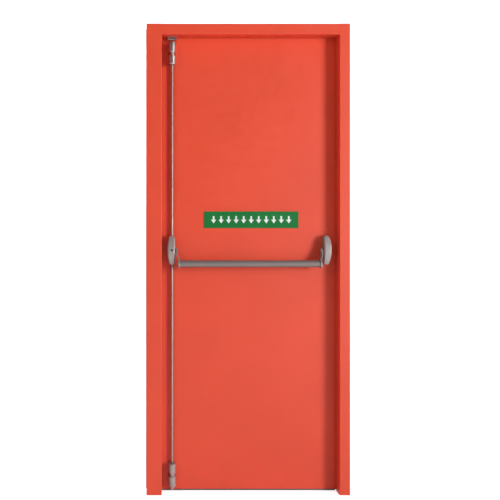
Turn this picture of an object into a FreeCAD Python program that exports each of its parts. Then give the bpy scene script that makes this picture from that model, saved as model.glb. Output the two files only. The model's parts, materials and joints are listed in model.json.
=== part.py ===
import FreeCAD, Part
import math
import os
import Sketcher
from types import SimpleNamespace

# Steel exit door set: a folded sheet frame, a flat hollow leaf on three lift-off hinges,
# and a push bar that draws two vertical rods and their bolts.
# Lengths are millimetres. The origin is at floor level on the wall side of the hinge jamb,
# in the middle of its room-side wall return. The lock side is towards -X, the room towards -Y.

DIMENSIONS = {
    # Frame, folded from one thickness of sheet
    "frame_width": 905,
    "frame_height": 2095,
    "frame_sheet": 1.5,
    "frame_bend": 1.5,
    "hinge_face": 47,
    "lock_face": 68,
    "head_face": 48,
    "stop_depth": 55,
    "stop_lap": 18,
    "wall_return": 16,
    "fixing_radius": 5.5,
    "fixing_setback": 33,
    "fixing_above_floor": 150,
    "fixing_below_top": 145,
    "seal_width": 10,
    "seal_clearance": 0.5,
    "seal_inset": 3,
    # Leaf, two skins closed at the top and bottom by channels
    "leaf_thickness": 45,
    "leaf_seat_gap": 5,
    "hinge_gap": 5,
    "lock_gap": 7,
    "head_gap": 5,
    "floor_gap": 5,
    "skin": 1.2,
    "skin_bend": 1,
    "channel_flange": 20,
    # Lift-off hinges on the outer face
    "hinge_above_floor": 220,
    "hinge_below_top": 335,
    "hinge_half": 50,
    "hinge_plate": 3,
    "hinge_reach": 26,
    "knuckle_radius": 9,
    "knuckle_clearance": 0.5,
    "pin_radius": 5,
    "pin_clearance": 0.1,
    "pin_recess": 2,
    "washer": 2,
    "washer_clearance": 0.2,
    # Push bar, its two end cases and the lever arms
    "hardware_inset": 48,
    "bar_shift": 3,
    "case_width": 35,
    "case_height": 132,
    "case_depth": 52,
    "case_base": 32,
    "case_end": 14,
    "case_edge": 7,
    "case_shift": 2.5,
    "case_plate": 3,
    "case_plate_inset": 1,
    "case_socket_radius": 4.5,
    "case_socket_depth": 6,
    "pivot_height": 1088,
    "pivot_standoff": 32,
    "pivot_radius": 7,
    "pivot_clearance": 0.1,
    "pivot_bore_depth": 9,
    "pivot_pin_length": 8,
    "arm_gap": 5,
    "arm_thickness": 6,
    "arm_joggle": 8.5,
    "arm_joggle_rise": 18,
    "arm_joggle_drop": 22,
    "arm_pivot_boss": 12,
    "arm_bar_boss": 20,
    "bar_radius": 15.5,
    "bar_wall": 2,
    "bar_standoff": 54,
    "bar_drop": 60,
    # Vertical rods, bolts, latch cases and the keep on the head
    "rod_radius": 6,
    "rod_standoff": 14,
    "rod_clearance": 0.3,
    "rod_end_gap": 30,
    "bolt_radius": 7,
    "bolt_nose": 4,
    "bolt_tail": 20,
    "top_bolt_reach": 6,
    "bottom_bolt_reach": 20,
    "latch_width": 32,
    "latch_depth": 44,
    "latch_nose_barrel": 47,
    "latch_neck": 14,
    "latch_neck_step": 6,
    "latch_rod_barrel": 41,
    "latch_edge": 4,
    "bottom_latch_height": 28,
    "keep_width": 38,
    "keep_height": 16,
    "keep_depth": 20,
    "keep_wall": 4,
    "keep_clearance": 9,
    "keep_roller": 4.5,
    # Sign plate on the leaf above the bar
    "sign_width": 427,
    "sign_height": 75,
    "sign_thickness": 2,
    "sign_rise": 137,
    "sign_shift": 12,
}

FIXINGS = 4
HINGE_LEVELS = ("bottom", "middle", "top")
TOLERANCE = 1e-4
X_AXIS = FreeCAD.Vector(1, 0, 0)
Z_AXIS = FreeCAD.Vector(0, 0, 1)


class Size:
    """A length together with the sheet expression that gives it."""

    def __init__(self, value, text):
        self.value = value
        self.text = text

    def combined(self, sign, other, value):
        return Size(value, f"({self.text} {sign} {other.text})")

    def __add__(self, other):
        other = as_size(other)
        return self.combined("+", other, self.value + other.value)

    def __sub__(self, other):
        other = as_size(other)
        return self.combined("-", other, self.value - other.value)

    def __mul__(self, other):
        other = as_size(other)
        return self.combined("*", other, self.value * other.value)

    def __truediv__(self, other):
        other = as_size(other)
        return self.combined("/", other, self.value / other.value)

    def __neg__(self):
        return Size(-self.value, f"(0 - {self.text})")


def as_size(number):
    if isinstance(number, Size):
        return number
    return Size(float(number), f"({float(number)})")


doc = FreeCAD.newDocument("exit_door")
sheet = doc.addObject("Spreadsheet::Sheet", "sizes")
for row, (name, number) in enumerate(DIMENSIONS.items(), start=1):
    sheet.set(f"A{row}", name)
    sheet.set(f"B{row}", str(number))
    sheet.setAlias(f"B{row}", name)
doc.recompute()
dim = SimpleNamespace(**{name: Size(float(number), f"sizes.{name}") for name, number in DIMENSIONS.items()})
NONE = as_size(0)

# Planes of the frame and the leaf, worked out from the driving sizes
room_face = -dim.wall_return / 2
stop_face = room_face + dim.stop_depth
leaf_face = stop_face + dim.leaf_seat_gap
outer_face = leaf_face + dim.leaf_thickness
lock_wall = -dim.frame_width
hinge_reveal = -dim.hinge_face
lock_reveal = lock_wall + dim.lock_face
soffit = dim.frame_height - dim.head_face
hinge_rebate = hinge_reveal + dim.stop_lap
lock_rebate = lock_reveal - dim.stop_lap
head_rebate = soffit + dim.stop_lap
leaf_hinge_edge = hinge_rebate - dim.hinge_gap
leaf_lock_edge = lock_rebate + dim.lock_gap
leaf_top = head_rebate - dim.head_gap
leaf_bottom = dim.floor_gap
opening_middle = (hinge_reveal + lock_reveal) / 2

# Axes of the moving pieces
hinge_axis_x = (hinge_rebate + leaf_hinge_edge) / 2
hinge_axis_y = outer_face + dim.knuckle_radius + dim.knuckle_clearance
lock_axis = lock_reveal + dim.hardware_inset
lock_case_axis = lock_axis - dim.bar_shift
hinge_case_axis = hinge_reveal - dim.hardware_inset - dim.bar_shift
pivot_y = leaf_face - dim.pivot_standoff
bar_y = leaf_face - dim.bar_standoff
bar_z = dim.pivot_height - dim.bar_drop
rod_y = leaf_face - dim.rod_standoff
case_inner_side = dim.case_width / 2 - dim.case_shift
arm_outside = case_inner_side + dim.arm_gap
arm_inside = arm_outside + dim.arm_thickness + dim.arm_joggle
latch_length = dim.latch_nose_barrel + dim.latch_neck + dim.latch_rod_barrel
keep_bottom = soffit - dim.keep_height
top_latch_nose = keep_bottom - dim.keep_clearance
bottom_latch_nose = dim.bottom_latch_height

sub_parts = []


# Helpers for sketches and features

def new_body(label):
    body = doc.addObject("PartDesign::Body", label)
    body.Label = label
    sub_parts.append(body)
    return body


def place(piece, x, y, z):
    piece.setExpression("Placement.Base.x", x.text)
    piece.setExpression("Placement.Base.y", y.text)
    piece.setExpression("Placement.Base.z", z.text)


def new_sketch(body, name, plane, offset=NONE):
    """A sketch on one of the body's own origin planes, moved along that plane's normal."""
    sketch = body.newObject("Sketcher::SketchObject", f"{body.Name}_{name}")
    support = next(feature for feature in body.Origin.OriginFeatures if feature.Role == plane)
    sketch.AttachmentSupport = [(support, "")]
    sketch.MapMode = "FlatFace"
    sketch.setExpression("AttachmentOffset.Base.z", offset.text)
    return sketch


def fix(sketch, kind, places, size):
    """A dimension in the sketch, bound to the sheet."""
    index = sketch.addConstraint(Sketcher.Constraint(kind, *places, size.value))
    sketch.setExpression(f"Constraints[{index}]", size.text)


def fix_point(sketch, geometry, point, spot):
    fix(sketch, "DistanceX", (-1, 1, geometry, point), spot[0])
    fix(sketch, "DistanceY", (-1, 1, geometry, point), spot[1])


def vector(spot):
    return FreeCAD.Vector(spot[0].value, spot[1].value, 0)


def arc_about(centre, start, end):
    """The anticlockwise arc from start to end."""
    first = math.atan2(start.y - centre.y, start.x - centre.x)
    last = math.atan2(end.y - centre.y, end.x - centre.x)
    circle = Part.Circle(centre, Z_AXIS, (start - centre).Length)
    return Part.ArcOfCircle(circle, first, last)


def draw_outline(sketch, spots, arc_from=None, arc_centre=None, centre_axis="DistanceX"):
    """A closed anticlockwise outline. The side that leaves spot number arc_from is an arc."""
    count = len(spots)
    for index in range(count):
        start = vector(spots[index])
        end = vector(spots[(index + 1) % count])
        if index == arc_from:
            sketch.addGeometry(arc_about(vector(arc_centre), start, end))
        else:
            sketch.addGeometry(Part.LineSegment(start, end))
    for index in range(count):
        sketch.addConstraint(Sketcher.Constraint("Coincident", index, 2, (index + 1) % count, 1))
    for index in range(count):
        fix_point(sketch, index, 1, spots[index])
    if arc_from is not None:
        centre_place = arc_centre[0] if centre_axis == "DistanceX" else arc_centre[1]
        fix(sketch, centre_axis, (-1, 1, arc_from, 3), centre_place)


def draw_rectangle(sketch, low, high):
    draw_outline(sketch, [low, (high[0], low[1]), high, (low[0], high[1])])


def draw_circle(sketch, centre, radius):
    index = sketch.addGeometry(Part.Circle(vector(centre), Z_AXIS, radius.value))
    fix_point(sketch, index, 3, centre)
    fix(sketch, "Radius", (index,), radius)


def draw_lever(sketch, upper, upper_radius, lower, lower_radius):
    """Two round ends joined by the two straight lines that touch them both."""
    top = vector(upper)
    bottom = vector(lower)
    along = bottom - top
    lean = math.acos((upper_radius.value - lower_radius.value) / along.Length)
    heading = math.atan2(along.y, along.x)

    def touching(centre, radius, turn):
        return centre + FreeCAD.Vector(math.cos(heading + turn), math.sin(heading + turn), 0) * radius

    top_left = touching(top, upper_radius.value, -lean)
    top_right = touching(top, upper_radius.value, lean)
    bottom_left = touching(bottom, lower_radius.value, -lean)
    bottom_right = touching(bottom, lower_radius.value, lean)
    upper_end = sketch.addGeometry(arc_about(top, top_right, top_left))
    left_side = sketch.addGeometry(Part.LineSegment(top_left, bottom_left))
    lower_end = sketch.addGeometry(arc_about(bottom, bottom_left, bottom_right))
    right_side = sketch.addGeometry(Part.LineSegment(bottom_right, top_right))
    join_smoothly(sketch, [upper_end, left_side, lower_end, right_side])
    fix_point(sketch, upper_end, 3, upper)
    fix_point(sketch, lower_end, 3, lower)
    fix(sketch, "Radius", (upper_end,), upper_radius)
    fix(sketch, "Radius", (lower_end,), lower_radius)


def draw_case_outline(sketch, flat_x, outward, width, middle_z, half_height, end_radius):
    """A straight side, two round ends and a bowed side that touches them both.

    The bowed side lies in the outward direction from the straight one, +1 or -1 along X.
    """
    reach = half_height - end_radius
    spare = width - end_radius
    bow_radius = (spare * spare + reach * reach - end_radius * end_radius) / ((spare - end_radius) * 2)
    bow = (flat_x + (width - bow_radius) * outward, middle_z)
    first = (flat_x + end_radius * outward, middle_z + reach * outward)
    last = (flat_x + end_radius * outward, middle_z - reach * outward)
    first_corner = vector((flat_x, first[1]))
    last_corner = vector((flat_x, last[1]))

    def touching(end):
        outward_line = vector(end) - vector(bow)
        return vector(bow) + outward_line * (bow_radius.value / outward_line.Length)

    flat_side = sketch.addGeometry(Part.LineSegment(first_corner, last_corner))
    last_end = sketch.addGeometry(arc_about(vector(last), last_corner, touching(last)))
    bowed_side = sketch.addGeometry(arc_about(vector(bow), touching(last), touching(first)))
    first_end = sketch.addGeometry(arc_about(vector(first), touching(first), first_corner))
    join_smoothly(sketch, [flat_side, last_end, bowed_side, first_end])
    fix_point(sketch, last_end, 3, last)
    fix_point(sketch, first_end, 3, first)
    fix(sketch, "Radius", (last_end,), end_radius)
    fix(sketch, "Radius", (first_end,), end_radius)
    fix(sketch, "Radius", (bowed_side,), bow_radius)


def join_smoothly(sketch, chain):
    """Ties each piece of a closed chain to the next, end to start, without a corner."""
    for index, geometry in enumerate(chain):
        following = chain[(index + 1) % len(chain)]
        sketch.addConstraint(Sketcher.Constraint("Tangent", geometry, 2, following, 1))


def pad(body, sketch, length):
    feature = body.newObject("PartDesign::Pad", f"{sketch.Name}_pad")
    feature.Profile = sketch
    feature.setExpression("Length", length.text)
    doc.recompute()
    return feature


def cut(body, sketch, length=None):
    """A cut to both sides of the sketch: length in all, or through everything."""
    feature = body.newObject("PartDesign::Pocket", f"{sketch.Name}_cut")
    feature.Profile = sketch
    feature.SideType = "Symmetric"
    if length is None:
        feature.Type = "ThroughAll"
    else:
        feature.Type = "Length"
        feature.setExpression("Length", length.text)
    doc.recompute()
    return feature


def edge_names(feature, wanted):
    return [f"Edge{number}" for number, edge in enumerate(feature.Shape.Edges, start=1) if wanted(edge)]


def soften(body, feature, kind, name, radius, wanted):
    """A Fillet or Chamfer on the wanted edges of the feature."""
    rounding = body.newObject(f"PartDesign::{kind}", f"{body.Name}_{name}")
    rounding.Base = (feature, edge_names(feature, wanted))
    rounding.setExpression("Radius" if kind == "Fillet" else "Size", radius.text)
    doc.recompute()
    return rounding


def runs_along(direction, spots):
    """A test for straight edges along the direction that pass through one of the spots."""
    def wanted(edge):
        if not isinstance(edge.Curve, Part.Line) or edge.Curve.Direction.cross(direction).Length > TOLERANCE:
            return False
        offsets = [(edge.Vertexes[0].Point - spot).cross(direction).Length for spot in spots]
        return min(offsets) < TOLERANCE
    return wanted


def block(label, low, high):
    """A plain box between two corners."""
    piece = doc.addObject("Part::Box", label)
    piece.Label = label
    piece.setExpression("Length", (high[0] - low[0]).text)
    piece.setExpression("Width", (high[1] - low[1]).text)
    piece.setExpression("Height", (high[2] - low[2]).text)
    place(piece, *low)
    sub_parts.append(piece)
    return piece


def upright_cylinder(label, x, y, low, high, radius):
    piece = doc.addObject("Part::Cylinder", label)
    piece.Label = label
    piece.setExpression("Radius", radius.text)
    piece.setExpression("Height", (high - low).text)
    place(piece, x, y, low)
    sub_parts.append(piece)
    return piece


# Frame: two jambs from floor to top, and a head between them

def folded_section(face, to_sketch):
    """Corners of the folded frame section, as (outer, inner) pairs from one wall return to the other.

    The section is drawn from the wall side: across is away from the wall, back is away from the room.
    """
    sheet_in = dim.frame_sheet
    depth = dim.stop_depth + dim.leaf_seat_gap + dim.leaf_thickness
    rebate = face - dim.stop_lap
    far_return = depth - dim.wall_return
    pairs = [
        ((NONE, dim.wall_return), (sheet_in, dim.wall_return)),
        ((NONE, NONE), (sheet_in, sheet_in)),
        ((face, NONE), (face - sheet_in, sheet_in)),
        ((face, dim.stop_depth), (face - sheet_in, dim.stop_depth - sheet_in)),
        ((rebate, dim.stop_depth), (rebate - sheet_in, dim.stop_depth - sheet_in)),
        ((rebate, depth), (rebate - sheet_in, depth - sheet_in)),
        ((NONE, depth), (sheet_in, depth - sheet_in)),
        ((NONE, far_return), (sheet_in, far_return)),
    ]
    return [(to_sketch(*outer), to_sketch(*inner)) for outer, inner in pairs]


def folded_piece(body, pairs, plane, offset, length, to_space, direction, mirrored):
    """Pads the folded section and rounds its bends."""
    sketch = new_sketch(body, "section", plane, offset)
    outline = [outer for outer, inner in pairs] + [inner for outer, inner in reversed(pairs)]
    if mirrored:
        outline.reverse()
    draw_outline(sketch, outline)
    folded = pad(body, sketch, length)
    bends = pairs[1:-1]
    rebate_bend = 3
    bends[rebate_bend] = bends[rebate_bend][::-1]
    outside = [to_space(outer) for outer, inner in bends]
    inside = [to_space(inner) for outer, inner in bends]
    rounded = soften(body, folded, "Fillet", "bend_outside", dim.frame_bend + dim.frame_sheet,
                     runs_along(direction, outside))
    return soften(body, rounded, "Fillet", "bend_inside", dim.frame_bend, runs_along(direction, inside))


def jamb(label, wall, inward, face):
    """A jamb whose section runs from the wall plane in the inward direction, +1 or -1 along X."""
    body = new_body(label)
    pairs = folded_section(face, lambda across, back: (wall + across * inward, room_face + back))
    folded_piece(body, pairs, "XY_Plane", NONE, dim.frame_height, vector, Z_AXIS, inward < 0)
    fixings = new_sketch(body, "fixings", "YZ_Plane", wall + face * inward)
    pitch = (dim.frame_height - dim.fixing_above_floor - dim.fixing_below_top) / (FIXINGS - 1)
    for index in range(FIXINGS):
        height = dim.fixing_above_floor + pitch * index
        draw_circle(fixings, (room_face + dim.fixing_setback, height), dim.fixing_radius)
    cut(body, fixings, dim.frame_sheet * 4)


def frame_head():
    body = new_body("frame_head")
    pairs = folded_section(dim.head_face, lambda down, back: (room_face + back, dim.frame_height - down))

    def to_space(spot):
        return FreeCAD.Vector(0, spot[0].value, spot[1].value)

    folded_piece(body, pairs, "YZ_Plane", lock_rebate, hinge_rebate - lock_rebate, to_space, X_AXIS, True)
    margin = dim.frame_sheet
    low_y = room_face - margin
    high_y = stop_face + dim.frame_bend
    ends = {
        "lock_notch": (lock_rebate - margin, lock_reveal),
        "hinge_notch": (hinge_reveal, hinge_rebate + margin),
    }
    for name, (low_x, high_x) in ends.items():
        notch = new_sketch(body, name, "XY_Plane")
        draw_rectangle(notch, (low_x, low_y), (high_x, high_y))
        cut(body, notch)


def seals():
    """Rubber strips on the stop, just clear of the closed leaf."""
    front = stop_face
    back = leaf_face - dim.seal_clearance
    hinge_high = hinge_reveal + dim.seal_inset + dim.seal_width
    hinge_low = hinge_reveal + dim.seal_inset
    lock_high = lock_reveal - dim.seal_inset
    lock_low = lock_high - dim.seal_width
    head_low = soffit + dim.seal_inset
    head_high = head_low + dim.seal_width
    block("hinge_jamb_seal", (hinge_low, front, NONE), (hinge_high, back, head_high))
    block("lock_jamb_seal", (lock_low, front, NONE), (lock_high, back, head_high))
    block("head_seal", (lock_high, front, head_low), (hinge_low, back, head_high))


def top_keep():
    """An inverted channel under the head, with a roller between its cheeks."""
    body = new_body("top_keep")
    half = dim.keep_width / 2
    inner_half = half - dim.keep_wall
    ceiling = soffit - dim.keep_wall
    section = new_sketch(body, "section", "XZ_Plane", -stop_face)
    draw_outline(section, [
        (lock_axis - half, keep_bottom),
        (lock_axis - inner_half, keep_bottom),
        (lock_axis - inner_half, ceiling),
        (lock_axis + inner_half, ceiling),
        (lock_axis + inner_half, keep_bottom),
        (lock_axis + half, keep_bottom),
        (lock_axis + half, soffit),
        (lock_axis - half, soffit),
    ])
    pad(body, section, dim.keep_depth)
    roller = new_body("keep_roller")
    circle = new_sketch(roller, "section", "YZ_Plane", lock_axis - inner_half)
    draw_circle(circle, (rod_y, keep_bottom + dim.keep_roller * 1.5), dim.keep_roller)
    pad(roller, circle, inner_half * 2)


# Hinges: a frame half with the pin, a washer and a leaf half that lifts off

def hinge_set(level, height):
    half_top = dim.hinge_half
    washer_low = half_top
    leaf_low = washer_low + dim.washer + dim.washer_clearance
    leaf_high = leaf_low + dim.hinge_half
    plate_back = outer_face - hinge_axis_y
    plate_front = plate_back + dim.hinge_plate
    centre = (NONE, NONE)
    bore = dim.pin_radius + dim.pin_clearance

    frame_half = new_body(f"{level}_hinge_frame_half")
    plate = new_sketch(frame_half, "plate", "XY_Plane")
    draw_rectangle(plate, (NONE, plate_back), (dim.hinge_reach, plate_front))
    pad(frame_half, plate, dim.hinge_half)
    knuckle = new_sketch(frame_half, "knuckle", "XY_Plane")
    draw_circle(knuckle, centre, dim.knuckle_radius)
    pad(frame_half, knuckle, dim.hinge_half)
    pin = new_sketch(frame_half, "pin", "XY_Plane")
    draw_circle(pin, centre, dim.pin_radius)
    pad(frame_half, pin, leaf_high - dim.pin_recess)

    washer = new_body(f"{level}_hinge_washer")
    ring = new_sketch(washer, "ring", "XY_Plane", washer_low)
    draw_circle(ring, centre, dim.knuckle_radius)
    draw_circle(ring, centre, bore)
    pad(washer, ring, dim.washer)

    leaf_half = new_body(f"{level}_hinge_leaf_half")
    plate = new_sketch(leaf_half, "plate", "XY_Plane", leaf_low)
    draw_rectangle(plate, (-dim.hinge_reach, plate_back), (NONE, plate_front))
    pad(leaf_half, plate, dim.hinge_half)
    knuckle = new_sketch(leaf_half, "knuckle", "XY_Plane", leaf_low)
    draw_circle(knuckle, centre, dim.knuckle_radius)
    pad(leaf_half, knuckle, dim.hinge_half)
    hole = new_sketch(leaf_half, "bore", "XY_Plane", leaf_low)
    draw_circle(hole, centre, bore)
    cut(leaf_half, hole)

    for piece in (frame_half, washer, leaf_half):
        place(piece, hinge_axis_x, hinge_axis_y, height)


# Leaf: an outer tray whose sides are the leaf's edges, an inner skin and two channels

def leaf():
    skin_back = leaf_face + dim.skin
    tray = new_body("leaf_outer_skin")
    section = new_sketch(tray, "section", "XY_Plane", leaf_bottom)
    inner_lock = leaf_lock_edge + dim.skin
    inner_hinge = leaf_hinge_edge - dim.skin
    inner_web = outer_face - dim.skin
    outer_corners = [(leaf_hinge_edge, outer_face), (leaf_lock_edge, outer_face)]
    inner_corners = [(inner_lock, inner_web), (inner_hinge, inner_web)]
    draw_outline(section, [
        (leaf_hinge_edge, skin_back),
        *outer_corners,
        (leaf_lock_edge, skin_back),
        (inner_lock, skin_back),
        *inner_corners,
        (inner_hinge, skin_back),
    ])
    height = leaf_top - leaf_bottom
    folded = pad(tray, section, height)
    rounded = soften(tray, folded, "Fillet", "bend_outside", dim.skin + dim.skin_bend,
                     runs_along(Z_AXIS, [vector(spot) for spot in outer_corners]))
    soften(tray, rounded, "Fillet", "bend_inside", dim.skin_bend,
           runs_along(Z_AXIS, [vector(spot) for spot in inner_corners]))

    block("leaf_inner_skin", (leaf_lock_edge, leaf_face, leaf_bottom), (leaf_hinge_edge, skin_back, leaf_top))
    channel("leaf_top_channel", leaf_top, -1)
    channel("leaf_bottom_channel", leaf_bottom, 1)


def channel(label, edge, into_leaf):
    """A channel with its web flush with the leaf's edge and its flanges inside the skins."""
    body = new_body(label)
    front = leaf_face + dim.skin
    back = outer_face - dim.skin
    web = edge + dim.skin * into_leaf
    tip = edge + dim.channel_flange * into_leaf
    end_gap = dim.skin + dim.skin_bend
    section = new_sketch(body, "section", "YZ_Plane", leaf_lock_edge + end_gap)
    outline = [
        (front, edge),
        (back, edge),
        (back, tip),
        (back - dim.skin, tip),
        (back - dim.skin, web),
        (front + dim.skin, web),
        (front + dim.skin, tip),
        (front, tip),
    ]
    if into_leaf < 0:
        outline.reverse()
    draw_outline(section, outline)
    pad(body, section, leaf_hinge_edge - leaf_lock_edge - end_gap * 2)


# Push bar: end cases on the leaf, lever arms and the bar between them

def end_case(label, axis_x, inward, has_rod):
    """A cast case with a flat side towards the bar, bowed outside and in front, and a blind pivot bore.

    A plate of the same outline lies under it. The one with the rods also has a bore for them,
    and a key socket in its front that holds the bar in.
    """
    body = new_body(label)
    back = leaf_face - dim.case_plate
    shoulder = back - dim.case_base
    front = leaf_face - dim.case_depth
    flat_side = axis_x + case_inner_side * inward
    middle_x = axis_x - dim.case_shift * inward
    half_width = dim.case_width / 2
    half_height = dim.case_height / 2
    spare = dim.case_edge
    low = dim.pivot_height - half_height - spare
    high = dim.pivot_height + half_height + spare
    half_chord = half_height + spare
    bow = shoulder - front
    bow_radius = (half_chord * half_chord + bow * bow) / (bow * 2)
    section = new_sketch(body, "section", "YZ_Plane", middle_x - half_width - spare)
    draw_outline(section, [(back, low), (back, high), (shoulder, high), (shoulder, low)],
                 arc_from=2, arc_centre=(front + bow_radius, dim.pivot_height))
    pad(body, section, dim.case_width + spare * 2)
    waste = new_sketch(body, "waste", "XZ_Plane")
    reach = half_width + spare * 2
    draw_rectangle(waste, (middle_x - reach, low - spare), (middle_x + reach, high + spare))
    draw_case_outline(waste, flat_side, -inward, dim.case_width, dim.pivot_height, half_height, dim.case_end)
    trimmed = cut(body, waste)

    def around_front(edge):
        behind = max(vertex.Point.y for vertex in edge.Vertexes) > back.value - TOLERANCE
        return not behind and not isinstance(edge.Curve, Part.Line)

    soften(body, trimmed, "Fillet", "edges", dim.case_edge, around_front)
    pivot = new_sketch(body, "pivot", "YZ_Plane", flat_side)
    draw_circle(pivot, (pivot_y, dim.pivot_height), dim.pivot_radius + dim.pivot_clearance)
    cut(body, pivot, dim.pivot_bore_depth * 2)
    if has_rod:
        rod_bore = new_sketch(body, "rod_bore", "XY_Plane")
        draw_circle(rod_bore, (lock_axis, rod_y), dim.rod_radius + dim.rod_clearance)
        cut(body, rod_bore)
        socket = new_sketch(body, "socket", "XZ_Plane", -front)
        draw_circle(socket, (axis_x, dim.pivot_height), dim.case_socket_radius)
        cut(body, socket, dim.case_socket_depth * 2)

    plate = new_body(f"{label}_plate")
    inset = dim.case_plate_inset
    outline = new_sketch(plate, "outline", "XZ_Plane", -leaf_face)
    draw_case_outline(outline, flat_side - inset * inward, -inward, dim.case_width - inset * 2,
                      dim.pivot_height, half_height - inset, dim.case_end - inset)
    pad(plate, outline, dim.case_plate)


def lever_arm(label, axis_x, inward):
    """A flat lever that leaves the case beside its pivot and steps inward to the bar's end."""
    body = new_body(label)
    pivot = (pivot_y, dim.pivot_height)
    bar = (bar_y, bar_z)
    outside = axis_x + arm_outside * inward
    inside = axis_x + arm_inside * inward
    start = outside if inward > 0 else inside
    side_view = new_sketch(body, "side_view", "YZ_Plane", start)
    draw_lever(side_view, pivot, dim.arm_pivot_boss, bar, dim.arm_bar_boss)
    pad(body, side_view, arm_inside - arm_outside)

    step = dim.arm_thickness
    upper_bend = dim.pivot_height - dim.arm_joggle_drop
    lower_bend = upper_bend - dim.arm_joggle_rise
    above = dim.pivot_height + dim.arm_pivot_boss + step
    below = bar_z - dim.arm_bar_boss - step
    upper_waste = [
        (inside + step * inward, above),
        (outside + step * inward, above),
        (outside + step * inward, upper_bend),
        (inside, lower_bend),
        (inside + step * inward, lower_bend),
    ]
    lower_waste = [
        (outside - step * inward, below),
        (inside - step * inward, below),
        (inside - step * inward, lower_bend),
        (outside, upper_bend),
        (outside - step * inward, upper_bend),
    ]
    for name, waste in (("upper_waste", upper_waste), ("lower_waste", lower_waste)):
        if inward < 0:
            waste.reverse()
        sketch = new_sketch(body, name, "XZ_Plane")
        draw_outline(sketch, waste)
        cut(body, sketch)

    pin_tip = axis_x + (case_inner_side - dim.pivot_pin_length) * inward
    pin_length = dim.pivot_pin_length + dim.arm_gap
    pin = new_sketch(body, "pin", "YZ_Plane", pin_tip if inward > 0 else outside)
    draw_circle(pin, pivot, dim.pivot_radius)
    pad(body, pin, pin_length)


def bar_tube():
    body = new_body("push_bar_tube")
    start = lock_case_axis + arm_inside
    end = hinge_case_axis - arm_inside
    section = new_sketch(body, "section", "YZ_Plane", start)
    draw_circle(section, (bar_y, bar_z), dim.bar_radius)
    draw_circle(section, (bar_y, bar_z), dim.bar_radius - dim.bar_wall)
    pad(body, section, end - start)


# Rods, bolts and the latch cases that guide them

def half_round(sketch, half_width, depth):
    """A section with a flat back on the leaf and a half-round front."""
    shoulder = leaf_face - depth + half_width
    left = lock_axis - half_width
    right = lock_axis + half_width
    draw_outline(sketch, [(right, leaf_face), (left, leaf_face), (left, shoulder), (right, shoulder)],
                 arc_from=2, arc_centre=(lock_axis, shoulder), centre_axis="DistanceY")


def latch_case(label, nose, rodward):
    """Two half-round barrels with a neck between them, from the nose towards the rod (+1 is up)."""
    body = new_body(label)
    wide = dim.latch_width / 2
    narrow = wide - dim.latch_neck_step
    spans = [
        ("nose_barrel", dim.latch_nose_barrel, wide, dim.latch_depth),
        ("neck", dim.latch_neck, narrow, dim.latch_depth - dim.latch_neck_step),
        ("rod_barrel", dim.latch_rod_barrel, wide, dim.latch_depth),
    ]
    place_now = nose
    for name, length, half_width, depth in spans:
        next_place = place_now + length * rodward
        section = new_sketch(body, name, "XY_Plane", place_now if rodward > 0 else next_place)
        half_round(section, half_width, depth)
        solid = pad(body, section, length)
        place_now = next_place

    def on_barrel_end(edge):
        points = [vertex.Point for vertex in edge.Vertexes]
        level = all(abs(point.z - points[0].z) < TOLERANCE for point in points)
        on_barrel = all(abs(abs(point.x - lock_axis.value) - wide.value) < TOLERANCE for point in points)
        return level and on_barrel and min(point.y for point in points) < leaf_face.value - TOLERANCE

    soften(body, solid, "Fillet", "ends", dim.latch_edge, on_barrel_end)
    bore = new_sketch(body, "bore", "XY_Plane")
    draw_circle(bore, (lock_axis, rod_y), dim.bolt_radius + dim.rod_clearance)
    cut(body, bore)


def rod_and_bolt(name, nose, rodward, reach):
    """A rod from the lock case to the latch, and the bolt that it carries."""
    joint = nose + (latch_length - dim.bolt_tail) * rodward
    tip = nose - reach * rodward
    rod_end = dim.pivot_height - dim.rod_end_gap * rodward
    rod_span = (joint, rod_end) if rodward > 0 else (rod_end, joint)
    bolt_span = (tip, joint) if rodward > 0 else (joint, tip)
    upright_cylinder(f"{name}_rod", lock_axis, rod_y, *rod_span, dim.rod_radius)
    bolt = new_body(f"{name}_bolt")
    section = new_sketch(bolt, "section", "XY_Plane", bolt_span[0])
    draw_circle(section, (lock_axis, rod_y), dim.bolt_radius)
    shank = pad(bolt, section, bolt_span[1] - bolt_span[0])

    def at_tip(edge):
        return isinstance(edge.Curve, Part.Circle) and abs(edge.Curve.Center.z - tip.value) < TOLERANCE

    soften(bolt, shank, "Chamfer", "nose", dim.bolt_nose, at_tip)


def sign_plate():
    middle_x = opening_middle + dim.sign_shift
    middle_z = dim.pivot_height + dim.sign_rise
    half_width = dim.sign_width / 2
    half_height = dim.sign_height / 2
    block("sign_plate", (middle_x - half_width, leaf_face - dim.sign_thickness, middle_z - half_height),
          (middle_x + half_width, leaf_face, middle_z + half_height))


def check_everything():
    """Stops with a plain message if any object failed or a cut missed its piece."""
    for item in doc.Objects:
        if "Invalid" in item.State or "Error" in item.State:
            raise RuntimeError(f"{item.Label} failed: {item.State}")
        if item.TypeId == "PartDesign::Pocket":
            if item.Shape.Volume > item.BaseFeature.Shape.Volume - TOLERANCE:
                raise RuntimeError(f"{item.Label} cuts nothing")
    for piece in sub_parts:
        if piece.Shape.isNull() or not piece.Shape.isValid() or len(piece.Shape.Solids) != 1:
            raise RuntimeError(f"{piece.Label} is not one valid solid")


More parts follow.
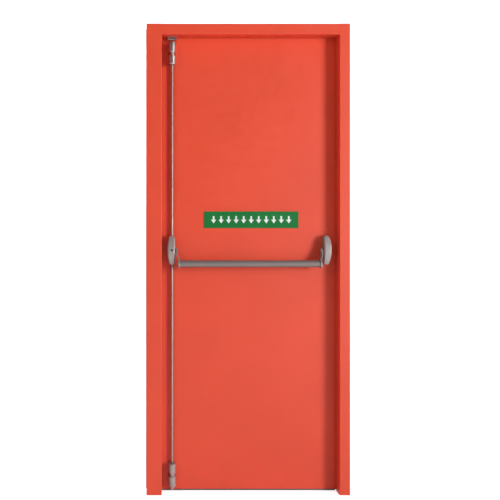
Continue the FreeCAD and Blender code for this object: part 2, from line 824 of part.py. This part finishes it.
jamb("hinge_jamb", NONE, -1, dim.hinge_face)
jamb("lock_jamb", lock_wall, 1, dim.lock_face)
frame_head()
seals()
top_keep()
lowest_hinge = dim.hinge_above_floor
hinge_pitch = (dim.frame_height - dim.hinge_below_top - lowest_hinge) / (len(HINGE_LEVELS) - 1)
for index, level in enumerate(HINGE_LEVELS):
    hinge_set(level, lowest_hinge + hinge_pitch * index)
leaf()
end_case("lock_case", lock_case_axis, 1, has_rod=True)
end_case("hinge_case", hinge_case_axis, -1, has_rod=False)
lever_arm("lock_arm", lock_case_axis, 1)
lever_arm("hinge_arm", hinge_case_axis, -1)
bar_tube()
latch_case("top_latch_case", top_latch_nose, -1)
latch_case("bottom_latch_case", bottom_latch_nose, 1)
rod_and_bolt("top", top_latch_nose, -1, dim.top_bolt_reach)
rod_and_bolt("bottom", bottom_latch_nose, 1, dim.bottom_bolt_reach)
sign_plate()

doc.recompute()
check_everything()
os.makedirs("parts", exist_ok=True)
for piece in sub_parts:
    piece.Shape.exportStep(f"parts/{piece.Label}.step")
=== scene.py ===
import json
import math

import bmesh
import bpy
from mathutils import Matrix, Vector


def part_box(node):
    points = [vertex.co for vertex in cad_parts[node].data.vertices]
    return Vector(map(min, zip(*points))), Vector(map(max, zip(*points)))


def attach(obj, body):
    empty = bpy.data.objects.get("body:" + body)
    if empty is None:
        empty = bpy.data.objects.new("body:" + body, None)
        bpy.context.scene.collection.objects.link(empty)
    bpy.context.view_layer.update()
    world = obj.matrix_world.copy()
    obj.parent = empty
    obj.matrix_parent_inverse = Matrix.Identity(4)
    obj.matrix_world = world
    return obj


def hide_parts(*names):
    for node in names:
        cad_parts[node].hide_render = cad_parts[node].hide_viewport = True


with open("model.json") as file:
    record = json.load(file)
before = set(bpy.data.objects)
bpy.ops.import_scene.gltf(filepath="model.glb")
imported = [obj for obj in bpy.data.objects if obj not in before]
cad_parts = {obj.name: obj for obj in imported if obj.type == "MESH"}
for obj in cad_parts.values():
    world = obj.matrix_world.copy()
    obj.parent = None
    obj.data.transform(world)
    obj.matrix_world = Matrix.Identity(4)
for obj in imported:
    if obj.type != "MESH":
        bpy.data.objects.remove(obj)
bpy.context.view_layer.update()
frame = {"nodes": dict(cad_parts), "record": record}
nodes = frame["nodes"]

# Lengths are metres in the frame of the door: x towards the hinge side, y outward, z up.
MM = 0.001

# Camera, set square to the door and framed by its shift
CAMERA_PLACE = Vector((-0.977, -3.108, 1.156))
CAMERA_LENS = 50.26
CAMERA_SENSOR = 36.0
CAMERA_SHIFT = (0.2394, -0.03)

# Colours, scene linear
RED = (0.785, 0.07, 0.028, 1)
RED_DUSTY = (0.6, 0.075, 0.045, 1)
SILVER = (0.345, 0.298, 0.286, 1)
# A darker copy of the silver enamel for the push bar: painted shade that dims the key light's highlight
# along the bar.
SHADED_BAR_SILVER = (0.222, 0.191, 0.184, 1)
NICKEL = (0.53, 0.46, 0.44, 1)
# A darker copy of the latch nickel for the lower latch and bolt: painted shade that dims the white floor's
# reflection in them.
FLOOR_SHADED_NICKEL = (0.38, 0.318, 0.304, 1)
ROD_STEEL = (0.34, 0.272, 0.255, 1)
STEEL = (0.56, 0.56, 0.57, 1)
BRASS = (0.72, 0.49, 0.2, 1)
RUBBER = (0.022, 0.022, 0.024, 1)
# Grey of the strip at the leaf's foot, set to the tone of the shadow under the leaf: painted shadow.
SHADOW_STRIP_GREY = (0.13, 0.115, 0.11, 1)
BLACK_STEEL = (0.03, 0.03, 0.032, 1)
SIGN_GREEN = (0.006, 0.17, 0.035, 1)
SIGN_WHITE = (0.82, 0.86, 0.82, 1)
STAGE_WHITE = (0.85, 0.85, 0.85, 1)
PURE_WHITE = (1, 1, 1, 1)


# Material helpers

FULL = (0, 1)


def new_material(name):
    """An empty node material, its tree and its Principled shader."""
    material = bpy.data.materials.new(name)
    material.use_nodes = True
    tree = material.node_tree
    tree.nodes.clear()
    output = tree.nodes.new("ShaderNodeOutputMaterial")
    shader = tree.nodes.new("ShaderNodeBsdfPrincipled")
    tree.links.new(shader.outputs["BSDF"], output.inputs["Surface"])
    return material, tree, shader


def coordinates(tree, stretch=(1, 1, 1)):
    """Object coordinates in metres, which move with the piece, stretched by a factor on each axis."""
    source = tree.nodes.new("ShaderNodeTexCoord")
    mapping = tree.nodes.new("ShaderNodeMapping")
    mapping.inputs["Scale"].default_value = stretch
    tree.links.new(source.outputs["Object"], mapping.inputs["Vector"])
    return mapping.outputs["Vector"]


def noise(tree, place, scale, detail=2.0):
    """A noise value near 0.5, with the given count of patches to the metre."""
    texture = tree.nodes.new("ShaderNodeTexNoise")
    texture.inputs["Scale"].default_value = scale
    texture.inputs["Detail"].default_value = detail
    tree.links.new(place, texture.inputs["Vector"])
    return texture.outputs["Fac"]


def remap(tree, value, source, target):
    """The value taken from the source range to the target range, each as (low, high)."""
    node = tree.nodes.new("ShaderNodeMapRange")
    for name, number in zip(("From Min", "From Max", "To Min", "To Max"), source + target):
        node.inputs[name].default_value = number
    tree.links.new(value, node.inputs["Value"])
    return node.outputs["Result"]


def combine(tree, operation, first, second):
    """A math node of the given operation on two outputs."""
    node = tree.nodes.new("ShaderNodeMath")
    node.operation = operation
    tree.links.new(first, node.inputs[0])
    tree.links.new(second, node.inputs[1])
    return node.outputs["Value"]


def mix_colour(tree, amount, first, second):
    """A mix of two colours, each a fixed colour or another node's output."""
    node = tree.nodes.new("ShaderNodeMix")
    node.data_type = "RGBA"
    tree.links.new(amount, node.inputs["Factor"])
    for name, colour in (("A", first), ("B", second)):
        socket = next(item for item in node.inputs if item.name == name and item.type == "RGBA")
        if isinstance(colour, tuple):
            socket.default_value = colour
        else:
            tree.links.new(colour, socket)
    return next(item for item in node.outputs if item.type == "RGBA")


def bump(tree, height, distance, strength, below=None):
    """A bump normal from a height, laid over the normal below where one is given."""
    node = tree.nodes.new("ShaderNodeBump")
    node.inputs["Distance"].default_value = distance
    node.inputs["Strength"].default_value = strength
    tree.links.new(height, node.inputs["Height"])
    if below is not None:
        tree.links.new(below, node.inputs["Normal"])
    return node.outputs["Normal"]


def shaded(colour, factor):
    return (colour[0] * factor, colour[1] * factor, colour[2] * factor, 1)


# Materials

SHEET_WAVES = (1, 1, 0.6)
DUST_HEIGHTS = (0.02, 0.22)
DUST_AMOUNTS = (0.22, 0)
UPRIGHT_LINES = (1, 1, 0.02)


def red_paint():
    """Satin powder coat on sheet: orange peel, slow waves in the sheet, faint dust near the floor."""
    material, tree, shader = new_material("red_powder_coat")
    place = coordinates(tree)
    patches = remap(tree, noise(tree, place, 3.0), (0.35, 0.65), FULL)
    specks = remap(tree, noise(tree, place, 60.0, 4.0), (0.3, 0.7), FULL)
    colour = mix_colour(tree, patches, shaded(RED, 0.965), shaded(RED, 1.03))
    colour = mix_colour(tree, remap(tree, specks, FULL, (0, 0.06)), colour, RED_DUSTY)
    height = tree.nodes.new("ShaderNodeSeparateXYZ")
    tree.links.new(place, height.inputs["Vector"])
    near_floor = remap(tree, height.outputs["Z"], DUST_HEIGHTS, DUST_AMOUNTS)
    clouds = remap(tree, noise(tree, place, 22.0, 5.0), (0.4, 0.7), FULL)
    colour = mix_colour(tree, combine(tree, "MULTIPLY", near_floor, clouds), colour, RED_DUSTY)
    tree.links.new(colour, shader.inputs["Base Color"])
    roughness = remap(tree, noise(tree, place, 24.0, 5.0), (0.3, 0.7), (0.38, 0.5))
    tree.links.new(roughness, shader.inputs["Roughness"])
    shader.inputs["Specular IOR Level"].default_value = 0.5
    waves = bump(tree, noise(tree, coordinates(tree, SHEET_WAVES), 3.5, 1.0), 0.004, 0.04)
    peel = bump(tree, noise(tree, place, 900.0, 1.0), 0.0002, 0.35, waves)
    tree.links.new(peel, shader.inputs["Normal"])
    return material


def silver_enamel(name, colour, metallic):
    """Silver stove enamel over castings and tube: fine flake, soft gloss, handling marks."""
    material, tree, shader = new_material(name)
    place = coordinates(tree)
    flake = remap(tree, noise(tree, place, 2400.0), (0.3, 0.7), FULL)
    smears = remap(tree, noise(tree, place, 38.0, 4.0), (0.35, 0.7), FULL)
    base = mix_colour(tree, flake, shaded(colour, 0.9), shaded(colour, 1.12))
    base = mix_colour(tree, remap(tree, smears, FULL, (0, 0.25)), base, shaded(colour, 0.75))
    tree.links.new(base, shader.inputs["Base Color"])
    shader.inputs["Metallic"].default_value = metallic
    tree.links.new(remap(tree, smears, FULL, (0.44, 0.56)), shader.inputs["Roughness"])
    grain = bump(tree, noise(tree, place, 700.0, 3.0), 0.0003, 0.25)
    tree.links.new(grain, shader.inputs["Normal"])
    return material


def drawn_metal(name, colour, roughness, marks, metallic=1.0):
    """Metal with fine upright drawing lines and cloudy handling marks, rougher where it is marked."""
    material, tree, shader = new_material(name)
    place = coordinates(tree)
    lines = noise(tree, coordinates(tree, UPRIGHT_LINES), 900.0, 3.0)
    clouds = remap(tree, noise(tree, place, 45.0, 5.0), (0.35, 0.7), FULL)
    streaks = remap(tree, lines, (0.3, 0.7), FULL)
    base = mix_colour(tree, streaks, shaded(colour, 0.9), shaded(colour, 1.05))
    base = mix_colour(tree, remap(tree, clouds, FULL, (0, marks)), base, shaded(colour, 0.6))
    tree.links.new(base, shader.inputs["Base Color"])
    shader.inputs["Metallic"].default_value = metallic
    tree.links.new(remap(tree, clouds, FULL, roughness), shader.inputs["Roughness"])
    tree.links.new(bump(tree, lines, 0.0002, 0.12), shader.inputs["Normal"])
    return material


def seal_rubber(name, colour):
    """Rubber with a pale, rough bloom in patches."""
    material, tree, shader = new_material(name)
    place = coordinates(tree)
    bloom_range = (0, 0.6)
    bloom = remap(tree, noise(tree, place, 120.0, 5.0), (0.4, 0.75), bloom_range)
    tree.links.new(mix_colour(tree, bloom, colour, shaded(colour, 1.8)), shader.inputs["Base Color"])
    tree.links.new(remap(tree, bloom, bloom_range, (0.55, 0.8)), shader.inputs["Roughness"])
    tree.links.new(bump(tree, noise(tree, place, 1500.0), 0.0002, 0.3), shader.inputs["Normal"])
    return material


def sign_plastic(name, colour):
    """Printed sign plastic, slightly faded in patches, with a fine satin grain."""
    material, tree, shader = new_material(name)
    place = coordinates(tree)
    fade = remap(tree, noise(tree, place, 12.0, 4.0), (0.3, 0.7), FULL)
    base = mix_colour(tree, fade, shaded(colour, 0.93), shaded(colour, 1.06))
    tree.links.new(base, shader.inputs["Base Color"])
    roughness = remap(tree, noise(tree, place, 150.0, 3.0), (0.3, 0.7), (0.38, 0.5))
    tree.links.new(roughness, shader.inputs["Roughness"])
    shader.inputs["Specular IOR Level"].default_value = 0.25
    tree.links.new(bump(tree, noise(tree, place, 1100.0), 0.0001, 0.2), shader.inputs["Normal"])
    return material


paint = red_paint()
enamel = silver_enamel("silver_enamel", SILVER, metallic=0.55)
# The push bar's enamel is the silver enamel darkened: painted shade over the bar's highlight.
shaded_bar_enamel = silver_enamel("shaded_bar_enamel", SHADED_BAR_SILVER, metallic=0.4)
nickel = drawn_metal("bright_nickel", NICKEL, roughness=(0.34, 0.42), marks=0.2)
# Darker, less metallic nickel for the lower latch and bolt: painted shade over the floor's reflection, with
# rougher marks.
floor_shaded_nickel = drawn_metal("floor_shaded_nickel", FLOOR_SHADED_NICKEL, roughness=(0.36, 0.5), marks=0.3, metallic=0.4)
drawn_rod = drawn_metal("drawn_rod", ROD_STEEL, roughness=(0.44, 0.56), marks=0.2)
satin_steel = drawn_metal("satin_steel", STEEL, roughness=(0.28, 0.42), marks=0.3)
turned_brass = drawn_metal("turned_brass", BRASS, roughness=(0.25, 0.4), marks=0.3)
black_steel = drawn_metal("black_steel", BLACK_STEEL, roughness=(0.45, 0.6), marks=0.3)
rubber = seal_rubber("black_rubber", RUBBER)
# Rubber for the strip at the leaf's foot, in the grey of the shadow there: painted shadow.
shadow_strip_rubber = seal_rubber("shadow_strip_rubber", SHADOW_STRIP_GREY)
green = sign_plastic("sign_green", SIGN_GREEN)
white = sign_plastic("sign_white", SIGN_WHITE)
SLOT_MATERIALS = {
    "red_paint": paint,
    "silver_paint": enamel,
    "bright_steel": nickel,
    "hinge_steel": satin_steel,
    "washer_brass": turned_brass,
    "seal_rubber": rubber,
    "sign_green": green,
}
# Nodes with a finish of their own: a duller steel for the rods, and darkened copies for the push bar and the
# lower latch and bolt, which are painted shade.
NODE_MATERIALS = {
    "top_rod": drawn_rod,
    "bottom_rod": drawn_rod,
    "bottom_bolt": floor_shaded_nickel,
    "push_bar_tube": shaded_bar_enamel,
    "bottom_latch_case": floor_shaded_nickel,
}
for part in frame["record"]["subparts"]:
    finish = NODE_MATERIALS.get(part["node"], SLOT_MATERIALS[part["material_slot"]])
    node_object = nodes[part["node"]]
    node_object.data.materials.clear()
    node_object.data.materials.append(finish)


# Shapes

CROSS_SLOT_SHARE = 0.24
CRISP_ANGLE = 35
ROUND_ANGLE = 50
BULB_ANGLE = 60


def in_mm(pairs):
    """Pairs that are written in millimetres, as metres."""
    return [(first * MM, second * MM) for first, second in pairs]


def box_corners(node):
    """The lowest and highest corners of a node's box."""
    low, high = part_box(node)
    return Vector(low), Vector(high)


def closed_loop(shape, spots):
    """New vertices at the spots, with the edges of the ring that they make."""
    corners = [shape.verts.new(spot) for spot in spots]
    edges = [shape.edges.new((corner, corners[index - 1])) for index, corner in enumerate(corners)]
    return corners, edges


def wall(shape, lower, upper):
    """Four-sided faces between two rings of the same count."""
    for index in range(len(lower)):
        shape.faces.new((lower[index - 1], lower[index], upper[index], upper[index - 1]))


def circle(radius, count):
    """Points round a circle, or the corners of an even polygon, as (x, y)."""
    turn = math.tau / count
    return [(radius * math.cos(turn * index), radius * math.sin(turn * index)) for index in range(count)]


def ring(shape, placement, outline, height):
    """A closed loop of an (x, y) outline at a height along the placement's own Z."""
    return closed_loop(shape, [placement @ Vector((x, y, height)) for x, y in outline])


def stacked_rings(shape, placement, profile, count):
    """Rings at each (radius, height) pair, walled to each other, with the first one closed by a face."""
    rings = [ring(shape, placement, circle(radius, count), height) for radius, height in profile]
    for (lower, _), (upper, _) in zip(rings, rings[1:]):
        wall(shape, lower, upper)
    shape.faces.new(rings[0][0])
    return rings


def turned(shape, placement, profile, count=28):
    """A solid turned about the placement's own Z, from (radius, height) pairs, with flat ends."""
    rings = stacked_rings(shape, placement, profile, count)
    shape.faces.new(rings[-1][0])


def cross(radius):
    """The plus-shaped outline of a cross recess."""
    half = radius * CROSS_SLOT_SHARE
    quarter = [(radius, -half), (radius, half), (half, half)]
    spots = []
    for index in range(4):
        turn = Matrix.Rotation(math.tau * index / 4, 2)
        spots += [tuple(turn @ Vector(spot)) for spot in quarter]
    return spots


def screw_head(shape, placement, profile, recess, depth, count=28):
    """A turned head with a recess of the given outline in its flat top."""
    rings = stacked_rings(shape, placement, profile, count)
    top = profile[-1][1]
    mouth, mouth_edges = ring(shape, placement, recess, top)
    floor, floor_edges = ring(shape, placement, recess, top - depth)
    wall(shape, mouth, floor)
    bmesh.ops.triangle_fill(shape, edges=rings[-1][1] + mouth_edges, use_beauty=True)
    bmesh.ops.triangle_fill(shape, edges=floor_edges, use_beauty=True)


def facing(spot, direction):
    """A placement at the spot whose own Z points in the direction."""
    return Matrix.Translation(spot) @ Vector(direction).to_track_quat("Z", "X").to_matrix().to_4x4()


def prism(shape, outline, depth):
    """A solid from an outline of points, pushed back by the depth vector."""
    front = [shape.verts.new(spot) for spot in outline]
    back = [shape.verts.new(Vector(spot) + depth) for spot in outline]
    wall(shape, front, back)
    shape.faces.new(front)
    shape.faces.new(back)


def add_piece(name, shape, material, body, smooth_below=CRISP_ANGLE):
    """Makes a piece of the shape, with edges sharper than the angle left crisp."""
    bmesh.ops.recalc_face_normals(shape, faces=shape.faces)
    mesh = bpy.data.meshes.new(name)
    shape.to_mesh(mesh)
    shape.free()
    for polygon in mesh.polygons:
        polygon.use_smooth = True
    mesh.set_sharp_from_angle(angle=math.radians(smooth_below))
    mesh.materials.append(material)
    piece = bpy.data.objects.new(name, mesh)
    bpy.context.scene.collection.objects.link(piece)
    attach(piece, body)
    return piece


# Seals: a foot on each side and a bulb between them, in shares of the section's width and height

SEAL_NEAR_FOOT = [(0, 0), (1, 0), (1, 0.12), (0.86, 0.15), (0.8, 0.3)]
SEAL_FAR_FOOT = [(0.2, 0.3), (0.14, 0.15), (0, 0.12)]
BULB_MIDDLE = (0.5, 0.56)
BULB_RADII = (0.33, 0.44)
BULB_START = -12
BULB_TURN = 204
BULB_STEPS = 16


def seal_profile():
    """The outline of a bulb seal's section, as (across, out) shares of its width and height."""
    bulb = []
    for step in range(BULB_STEPS + 1):
        angle = math.radians(BULB_START + BULB_TURN * step / BULB_STEPS)
        across = BULB_MIDDLE[0] + BULB_RADII[0] * math.cos(angle)
        out = BULB_MIDDLE[1] + BULB_RADII[1] * math.sin(angle)
        bulb.append((across, out))
    return SEAL_NEAR_FOOT + bulb + SEAL_FAR_FOOT


def bulb_seal(node, upright):
    """A bulb seal in the place of the node's plain strip."""
    low, high = box_corners(node)
    size = high - low
    shape = bmesh.new()
    if upright:
        spots = [(low.x + across * size.x, low.y + out * size.y, low.z) for across, out in seal_profile()]
        prism(shape, spots, Vector((0, 0, size.z)))
    else:
        spots = [(low.x, low.y + out * size.y, low.z + across * size.z) for across, out in seal_profile()]
        prism(shape, spots, Vector((size.x, 0, 0)))
    seal = add_piece(f"{node}_bulb", shape, rubber, "frame", BULB_ANGLE)
    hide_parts(node)


bulb_seal("hinge_jamb_seal", upright=True)
bulb_seal("lock_jamb_seal", upright=True)
bulb_seal("head_seal", upright=False)


# Corner welds: where the head meets the jambs, on the room face and on the outer face

BEND = 3 * MM
SEAM_RECESS = 0.35 * MM
SEAM_OVERLAP = 0.15 * MM
SEAM_STEPS = 6
STOP_LAP = 18 * MM


def seam_section():
    """A weld in the groove of a rounded bend, as (across, deep) from the bend's two tangent planes."""
    spots = [(0, SEAM_RECESS)]
    for step in range(SEAM_STEPS + 1):
        deep = SEAM_RECESS + (BEND - SEAM_RECESS) * step / SEAM_STEPS
        groove = BEND - math.sqrt(BEND ** 2 - (BEND - deep) ** 2)
        spots.append((groove + SEAM_OVERLAP, deep))
    return spots + [(0, BEND)]


head_low, head_high = box_corners("frame_head")
hinge_jamb_low, _ = box_corners("hinge_jamb")
_, lock_jamb_high = box_corners("lock_jamb")
room_seam_foot = head_low.z
outer_seam_foot = head_low.z + STOP_LAP
seams = [
    (lock_jamb_high.x, -1, head_low.y, 1, room_seam_foot),
    (hinge_jamb_low.x, 1, head_low.y, 1, room_seam_foot),
    (head_low.x, -1, head_high.y, -1, outer_seam_foot),
    (head_high.x, 1, head_high.y, -1, outer_seam_foot),
]
welds = bmesh.new()
for x, towards_jamb, y, inward, foot in seams:
    spots = [(x + across * towards_jamb, y + deep * inward, foot) for across, deep in seam_section()]
    prism(welds, spots, Vector((0, 0, head_high.z - foot)))
add_piece("corner_welds", welds, paint, "frame", ROUND_ANGLE)


# Caps over the frame's fixings, and rivets of the keep's roller

CAP_PROFILE = in_mm([(7.8, 0), (7.8, 0.5), (7.2, 1.0), (5.6, 1.5), (3, 1.8)])
RIVET_PROFILE = in_mm([(3.4, 0), (3.2, 0.6), (2.4, 1.2), (1.0, 1.5)])

caps = bmesh.new()
for mount in frame["record"]["mounts"]:
    if mount["kind"] == "bolt_pattern":
        reach = mount["dims"]["spacing_y_mm"] * MM / 2
        for height in (-reach, reach):
            spot = Vector(mount["pos_m"]) + Vector((0, 0, height))
            turned(caps, facing(spot, mount["axis"]), CAP_PROFILE)
add_piece("fixing_caps", caps, paint, "frame", ROUND_ANGLE)

keep_low, keep_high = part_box("top_keep")
roller_low, roller_high = box_corners("keep_roller")
roller_middle = (roller_low + roller_high) / 2
rivets = bmesh.new()
for side, x in ((-1, keep_low[0]), (1, keep_high[0])):
    turned(rivets, facing((x, roller_middle.y, roller_middle.z), (side, 0, 0)), RIVET_PROFILE, count=20)
add_piece("keep_rivets", rivets, nickel, "frame", ROUND_ANGLE)


# Screws of the hinges

HINGE_PLATE = 3 * MM
HINGE_SCREW_INSET = 8.5 * MM
HINGE_SCREW_HEIGHTS = (12.5 * MM, 37.5 * MM)
HINGE_SCREW_PROFILE = in_mm([(4.6, 0), (4.5, 0.25), (3.9, 0.6), (3.0, 0.8)])
HINGE_SCREW_CROSS = cross(2.3 * MM)
HINGE_SCREW_CROSS_DEPTH = 0.6 * MM


def hinge_screws(half, body):
    """Two screws in the plate of each hinge's frame half or leaf half."""
    shape = bmesh.new()
    for level in ("bottom", "middle", "top"):
        low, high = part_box(f"{level}_hinge_{half}_half")
        x = high[0] - HINGE_SCREW_INSET if half == "frame" else low[0] + HINGE_SCREW_INSET
        for height in HINGE_SCREW_HEIGHTS:
            seat = facing((x, low[1] + HINGE_PLATE, low[2] + height), (0, 1, 0))
            screw_head(shape, seat, HINGE_SCREW_PROFILE, HINGE_SCREW_CROSS, HINGE_SCREW_CROSS_DEPTH)
    add_piece(f"hinge_{half}_screws", shape, satin_steel, body)


hinge_screws("frame", "frame")
hinge_screws("leaf", "leaf")


# Painted shadow: a grey rubber strip along the foot of the leaf, between the jambs, where the leaf's shadow
# falls. Its section is (out, height).

STRIP_CLEARANCE = 3 * MM
STRIP_SECTION = in_mm([(0, 7), (-1.6, 7), (-2.2, 6.4), (-2.2, 4.6), (-1.7, 4), (-1.4, 1), (-0.6, 1), (0, 4)])

skin_low, _ = box_corners("leaf_inner_skin")
strip_start = lock_jamb_high.x + STRIP_CLEARANCE
strip_end = hinge_jamb_low.x - STRIP_CLEARANCE
strip_spots = [(strip_start, skin_low.y + out, height) for out, height in STRIP_SECTION]
shadow_strip = bmesh.new()
prism(shadow_strip, strip_spots, Vector((strip_end - strip_start, 0, 0)))
add_piece("bottom_shadow_strip", shadow_strip, shadow_strip_rubber, "leaf")


# Push bar: key socket, pivot heads and bar screws

CASE_FLAT_SIDE = 15 * MM
SOCKET_SEAT_DEPTH = 5.9 * MM
SOCKET_PROFILE = in_mm([(4.4, 0), (4.4, 3.6), (4.0, 4.0)])
SOCKET_HEXAGON = circle(3.0 * MM, 6)
SOCKET_HEXAGON_DEPTH = 3.4 * MM
ARM_THICKNESS = 6 * MM
ARM_STEP = 8.5 * MM
PIVOT_PROFILE = in_mm([(6.0, 0), (5.8, 0.6), (4.8, 1.2), (2.8, 1.6), (1.0, 1.7)])
BAR_SCREW_PROFILE = in_mm([(6.0, 0), (6.0, 1.6), (5.2, 2.6), (4.0, 3.0)])
BAR_SCREW_HEXAGON = circle(3.0 * MM, 6)
BAR_SCREW_HEXAGON_DEPTH = 2.0 * MM

case_low, case_high = box_corners("lock_case")
case_middle = (case_low + case_high) / 2
socket_spot = Vector((case_high.x - CASE_FLAT_SIDE, case_low.y + SOCKET_SEAT_DEPTH, case_middle.z))
socket = bmesh.new()
screw_head(socket, facing(socket_spot, (0, -1, 0)), SOCKET_PROFILE, SOCKET_HEXAGON, SOCKET_HEXAGON_DEPTH)
add_piece("key_socket", socket, black_steel, "leaf")

bar_low, bar_high = box_corners("push_bar_tube")
bar_middle = (bar_low + bar_high) / 2
joints = {joint["name"]: joint for joint in frame["record"]["behaviour"]["joints"]}
pivot = joints["bar_push"]["pos_m"]
pivot_heads = bmesh.new()
bar_screws = bmesh.new()
for inward, bar_end in ((1, bar_low.x), (-1, bar_high.x)):
    arm_inside = Vector((bar_end - ARM_STEP * inward, pivot[1], pivot[2]))
    turned(pivot_heads, facing(arm_inside, (inward, 0, 0)), PIVOT_PROFILE)
    arm_outside = Vector((bar_end - ARM_THICKNESS * inward, bar_middle.y, bar_middle.z))
    seat = facing(arm_outside, (-inward, 0, 0))
    screw_head(bar_screws, seat, BAR_SCREW_PROFILE, BAR_SCREW_HEXAGON, BAR_SCREW_HEXAGON_DEPTH)
add_piece("pivot_heads", pivot_heads, nickel, "push_bar", ROUND_ANGLE)
add_piece("bar_screws", bar_screws, satin_steel, "push_bar")


# Sign: a row of plain arrows that point down at the bar

PRINT_DEPTH = 0.25 * MM
ARROWS = 11
ARROW_PITCH = 34 * MM
ARROW_HEIGHT = 33 * MM
ARROW_HEAD = 17 * MM
ARROW_HALF_WIDTH = 12 * MM
SHAFT_HALF_WIDTH = 3.8 * MM
ARROW_OUTLINE = [
    (0, -ARROW_HEIGHT / 2),
    (ARROW_HALF_WIDTH, -ARROW_HEIGHT / 2 + ARROW_HEAD),
    (SHAFT_HALF_WIDTH, -ARROW_HEIGHT / 2 + ARROW_HEAD),
    (SHAFT_HALF_WIDTH, ARROW_HEIGHT / 2),
    (-SHAFT_HALF_WIDTH, ARROW_HEIGHT / 2),
    (-SHAFT_HALF_WIDTH, -ARROW_HEIGHT / 2 + ARROW_HEAD),
    (-ARROW_HALF_WIDTH, -ARROW_HEIGHT / 2 + ARROW_HEAD),
]

sign_low, sign_high = box_corners("sign_plate")
sign_middle = (sign_low + sign_high) / 2
arrows = bmesh.new()
for index in range(ARROWS):
    middle_x = sign_middle.x + (index - (ARROWS - 1) / 2) * ARROW_PITCH
    spots = [(middle_x + x, sign_low.y - PRINT_DEPTH, sign_middle.z + z) for x, z in ARROW_OUTLINE]
    prism(arrows, spots, Vector((0, PRINT_DEPTH, 0)))
add_piece("sign_arrows", arrows, white, "leaf")


# Stage: floor, backdrop, lamps, surround and camera

STAGE_REACH = 30
BACKDROP_Y = 5
BACKDROP_HEIGHT = 15
FLOOR_GLOW = 0.75
BACKDROP_GLOW = 0.95


def white_stage(name, outline, glow):
    """A pale sheet that glows to the eye and in reflections, and does not light the door by that glow."""
    mesh = bpy.data.meshes.new(name)
    mesh.from_pydata(outline, [], [tuple(range(len(outline)))])
    sheet = bpy.data.objects.new(name, mesh)
    bpy.context.scene.collection.objects.link(sheet)
    material, tree, shader = new_material(name)
    shader.inputs["Base Color"].default_value = STAGE_WHITE
    shader.inputs["Roughness"].default_value = 0.9
    shader.inputs["Specular IOR Level"].default_value = 0.0
    shader.inputs["Emission Color"].default_value = PURE_WHITE
    path = tree.nodes.new("ShaderNodeLightPath")
    seen = path.outputs["Is Camera Ray"]
    for ray in ("Is Glossy Ray", "Is Transmission Ray"):
        seen = combine(tree, "MAXIMUM", seen, path.outputs[ray])
    tree.links.new(remap(tree, seen, FULL, (0, glow)), shader.inputs["Emission Strength"])
    sheet.data.materials.append(material)


def lamp(name, place, target, size, power):
    """A soft box that faces the target. Size is its width and height."""
    data = bpy.data.lights.new(name, "AREA")
    data.shape = "RECTANGLE"
    data.size, data.size_y = size
    data.energy = power
    light = bpy.data.objects.new(name, data)
    light.location = place
    light.rotation_euler = (Vector(target) - Vector(place)).to_track_quat("-Z", "Y").to_euler()
    bpy.context.scene.collection.objects.link(light)
    return light


def dome(horizon, overhead):
    """A white surround that brightens evenly from the horizon to overhead."""
    world = bpy.data.worlds.new("studio")
    world.use_nodes = True
    tree = world.node_tree
    background = tree.nodes["Background"]
    background.inputs["Color"].default_value = PURE_WHITE
    direction = tree.nodes.new("ShaderNodeTexCoord")
    height = tree.nodes.new("ShaderNodeSeparateXYZ")
    tree.links.new(direction.outputs["Generated"], height.inputs["Vector"])
    strength = remap(tree, height.outputs["Z"], FULL, (horizon, overhead))
    tree.links.new(strength, background.inputs["Strength"])
    bpy.context.scene.world = world


floor_back = [(STAGE_REACH, BACKDROP_Y, 0), (-STAGE_REACH, BACKDROP_Y, 0)]
floor_front = [(-STAGE_REACH, -STAGE_REACH, 0), (STAGE_REACH, -STAGE_REACH, 0)]
backdrop_top = [(STAGE_REACH, BACKDROP_Y, BACKDROP_HEIGHT), (-STAGE_REACH, BACKDROP_Y, BACKDROP_HEIGHT)]
white_stage("floor", floor_front + floor_back, FLOOR_GLOW)
white_stage("backdrop", floor_back[::-1] + backdrop_top, BACKDROP_GLOW)
lamp("key", place=(3.9, -4.3, 1.75), target=(-1.1, -3.75, 1.85), size=(2.2, 2.2), power=354)
fill = lamp("fill", place=(-3.0, -2.5, 2.9), target=(-0.9, 0.0, 1.9), size=(1.6, 2.0), power=31)
fill.visible_glossy = False
back = lamp("back", place=(-2.4, 3.4, 2.4), target=(-0.45, 0.1, 1.1), size=(2.0, 2.0), power=76)
back.visible_camera = False
dome(horizon=0.05, overhead=0.34)

camera_data = bpy.data.cameras.new("camera")
camera_data.lens = CAMERA_LENS
camera_data.sensor_width = CAMERA_SENSOR
camera_data.shift_x, camera_data.shift_y = CAMERA_SHIFT
camera = bpy.data.objects.new("camera", camera_data)
camera.location = CAMERA_PLACE
camera.rotation_euler = (math.radians(90), 0, 0)
bpy.context.scene.collection.objects.link(camera)
bpy.context.scene.camera = camera
bpy.context.scene.view_settings.view_transform = "Standard"
